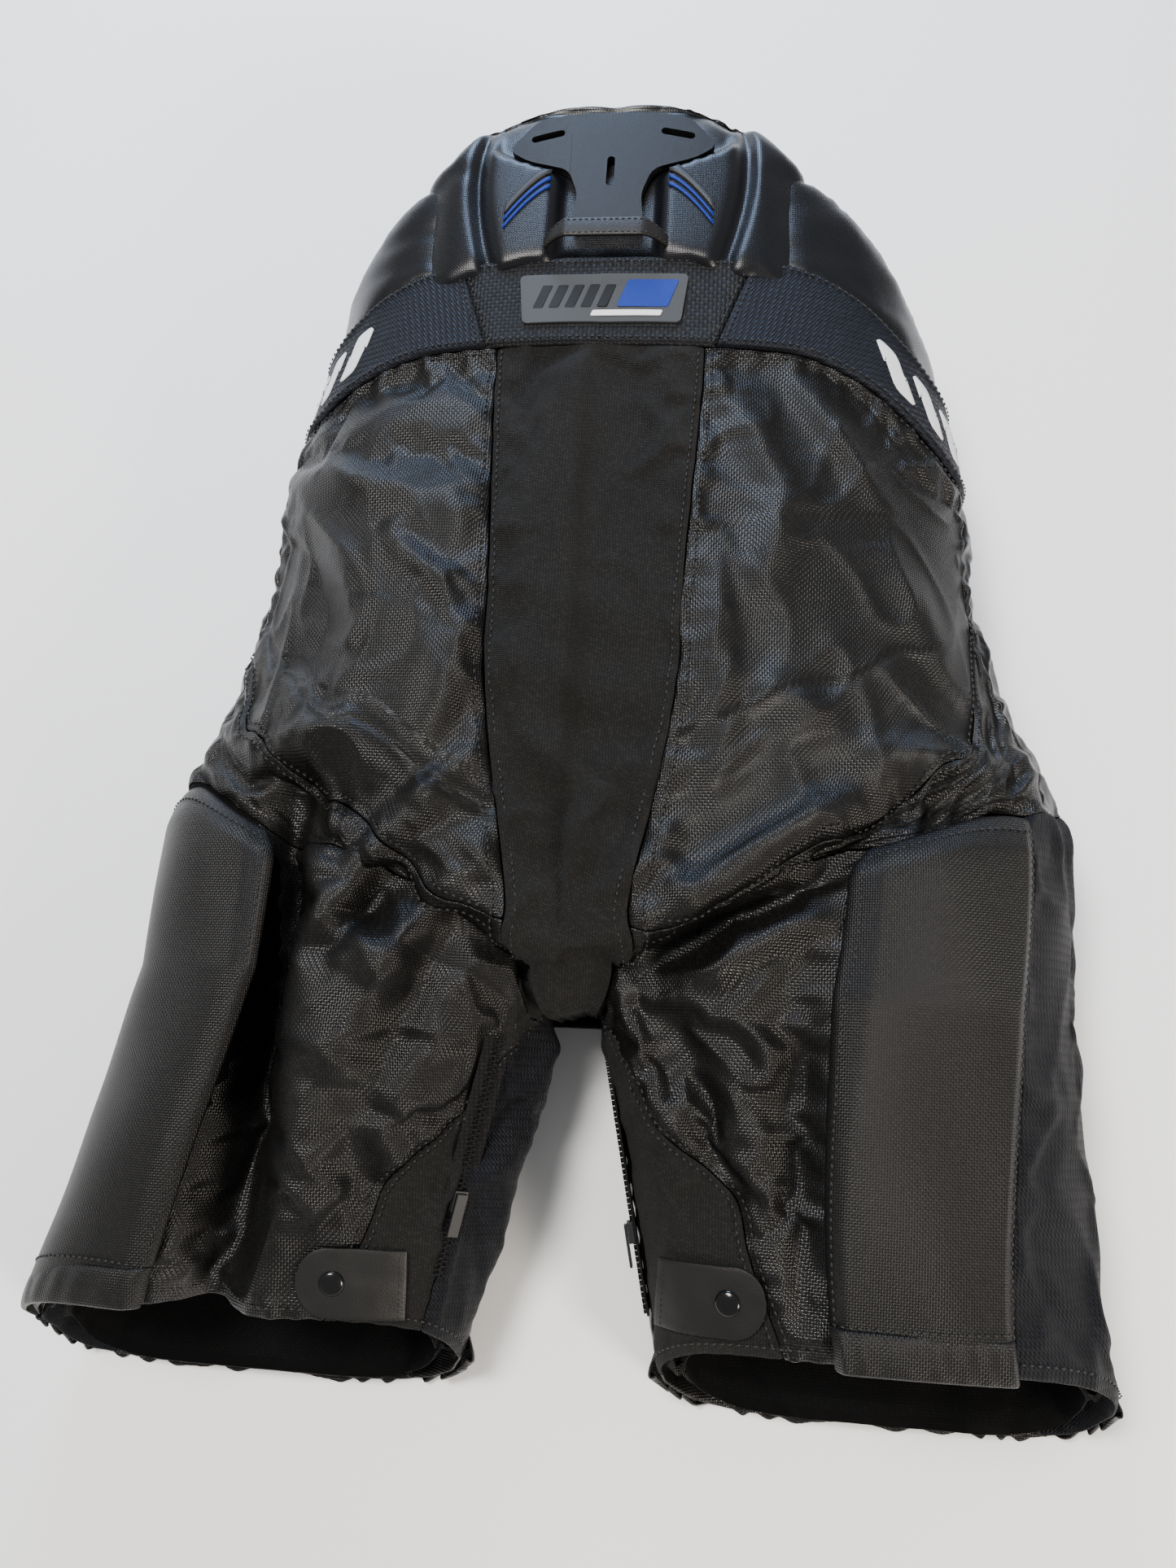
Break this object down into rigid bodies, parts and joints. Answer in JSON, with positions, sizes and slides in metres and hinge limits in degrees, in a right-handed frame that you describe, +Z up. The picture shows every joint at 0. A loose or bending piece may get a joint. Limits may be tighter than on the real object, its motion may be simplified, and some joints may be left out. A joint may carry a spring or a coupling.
{
  "type": "hockey pants",
  "caption": "Padded ice hockey pants lying face down: belted trunk with raised spine pad, two open legs with thigh guards, inner zips and snap tabs.",
  "frame": {"origin": "on the flat face that the pants rest on, on the front seam panel, on the mid line and 60 mm above the crotch towards the waist", "axes": "+Y along the body towards the waist, +X to the right of a person looking at the back with the waist at the top, +Z up out of the back of the garment"},
  "size_m": [0.5814, 0.7304, 0.1769],
  "materials": {
    "ballistic_nylon": "satin-dark woven nylon",
    "belt_fabric": "navy-black belt fabric",
    "foam": "closed-cell foam",
    "hard_plastic": "moulded black plastic",
    "label_rubber": "grey printed rubber label",
    "lining": "black lining",
    "metal": "dark metal",
    "satin_nylon": "glossy satin nylon",
    "side_mesh": "coarse navy-black mesh",
    "stretch_knit": "matt stretch knit",
    "synthetic_leather": "charcoal synthetic leather",
    "webbing": "black webbing"
  },
  "bodies": {
    "trunk": {"belt_back": "belt_fabric", "belt_left": "belt_fabric", "belt_right": "belt_fabric", "buckle_frame": "hard_plastic", "centre_stretch_panel": "stretch_knit", "crotch_gusset": "stretch_knit", "eyelet_strip_left": "synthetic_leather", "eyelet_strip_right": "synthetic_leather", "fly_tongue": "ballistic_nylon", "front_panel_left": "ballistic_nylon", "front_panel_right": "ballistic_nylon", "front_seam_panel": "stretch_knit", "hip_foam_left": "foam", "hip_foam_right": "foam", "hip_plate_left": "hard_plastic", "hip_plate_right": "hard_plastic", "hip_side_panel_left": "ballistic_nylon", "hip_side_panel_right": "ballistic_nylon", "kidney_pad_left": "satin_nylon", "kidney_pad_right": "satin_nylon", "label_patch": "label_rubber", "seat_liner": "lining", "seat_panel_left": "ballistic_nylon", "seat_panel_right": "ballistic_nylon", "spine_pad_cover": "satin_nylon", "spine_pad_foam": "foam", "spine_plate": "hard_plastic", "tailbone_pad": "foam", "waist_webbing_left": "webbing", "waist_webbing_right": "webbing"},
    "leg_left": {"front_thigh_pad_left": "foam", "leg_back_panel_left": "ballistic_nylon", "leg_front_panel_left": "ballistic_nylon", "leg_gusset_left": "stretch_knit", "leg_liner_left": "lining", "leg_side_mesh_left": "side_mesh", "snap_post_left": "metal", "thigh_guard_cover_left": "ballistic_nylon", "thigh_guard_plate_left": "hard_plastic", "zip_chain_left": "webbing"},
    "leg_right": {"front_thigh_pad_right": "foam", "leg_back_panel_right": "ballistic_nylon", "leg_front_panel_right": "ballistic_nylon", "leg_gusset_right": "stretch_knit", "leg_liner_right": "lining", "leg_side_mesh_right": "side_mesh", "snap_post_right": "metal", "thigh_guard_cover_right": "ballistic_nylon", "thigh_guard_plate_right": "hard_plastic", "zip_chain_right": "webbing"},
    "zip_slider_left": {"zip_slider_left": "metal"},
    "zip_pull_left": {"zip_pull_left": "metal"},
    "snap_tab_left": {"snap_tab_left": "synthetic_leather", "snap_cap_left": "hard_plastic"},
    "zip_slider_right": {"zip_slider_right": "metal"},
    "zip_pull_right": {"zip_pull_right": "metal"},
    "snap_tab_right": {"snap_tab_right": "synthetic_leather", "snap_cap_right": "hard_plastic"},
    "grab_loop": {"grab_loop": "synthetic_leather"},
    "waist_clip": {"buckle_clip": "hard_plastic"}
  },
  "joints": [
    {"name": "leg_swing_left", "type": "hinge", "parent": "trunk", "child": "leg_left", "pos_m": [-0.012, -0.06, 0.07], "axis": [0, 0, -1], "range_deg": [-4, 8]},
    {"name": "leg_swing_right", "type": "hinge", "parent": "trunk", "child": "leg_right", "pos_m": [0.012, -0.06, 0.07], "axis": [0, 0, 1], "range_deg": [-4, 8]},
    {"name": "zip_slide_left", "type": "slide", "parent": "leg_left", "child": "zip_slider_left", "axis": [0.2076, 0.9668, 0.1487], "range_m": [-0.0312, 0.0841]},
    {"name": "zip_pull_left", "type": "hinge", "parent": "zip_slider_left", "child": "zip_pull_left", "pos_m": [-0.04948, -0.16743, 0.09774], "axis": [-0.7848, 0.0739, 0.6153], "range_deg": [0, 150]},
    {"name": "snap_tab_left", "type": "hinge", "parent": "leg_left", "child": "snap_tab_left", "pos_m": [-0.07397, -0.212, 0.09725], "axis": [0.211, 0.9642, 0.1604], "range_deg": [0, 110]},
    {"name": "zip_slide_right", "type": "slide", "parent": "leg_right", "child": "zip_slider_right", "axis": [-0.2039, 0.9742, 0.0968], "range_m": [-0.0334, 0.0892]},
    {"name": "zip_pull_right", "type": "hinge", "parent": "zip_slider_right", "child": "zip_pull_right", "pos_m": [0.03238, -0.18049, 0.05534], "axis": [-0.054, 0.0875, -0.9947], "range_deg": [0, 150]},
    {"name": "snap_tab_right", "type": "hinge", "parent": "leg_right", "child": "snap_tab_right", "pos_m": [0.05044, -0.207, 0.08154], "axis": [0.1987, -0.9703, -0.1378], "range_deg": [0, 110]},
    {"name": "grab_loop_fold", "type": "hinge", "parent": "trunk", "child": "grab_loop", "pos_m": [0, 0.3524, 0.1595], "axis": [-1, 0, 0], "range_deg": [-60, 35]},
    {"name": "waist_clip_slide", "type": "slide", "parent": "trunk", "child": "waist_clip", "axis": [1, 0, 0], "range_m": [0, 0.02]}
  ]
}
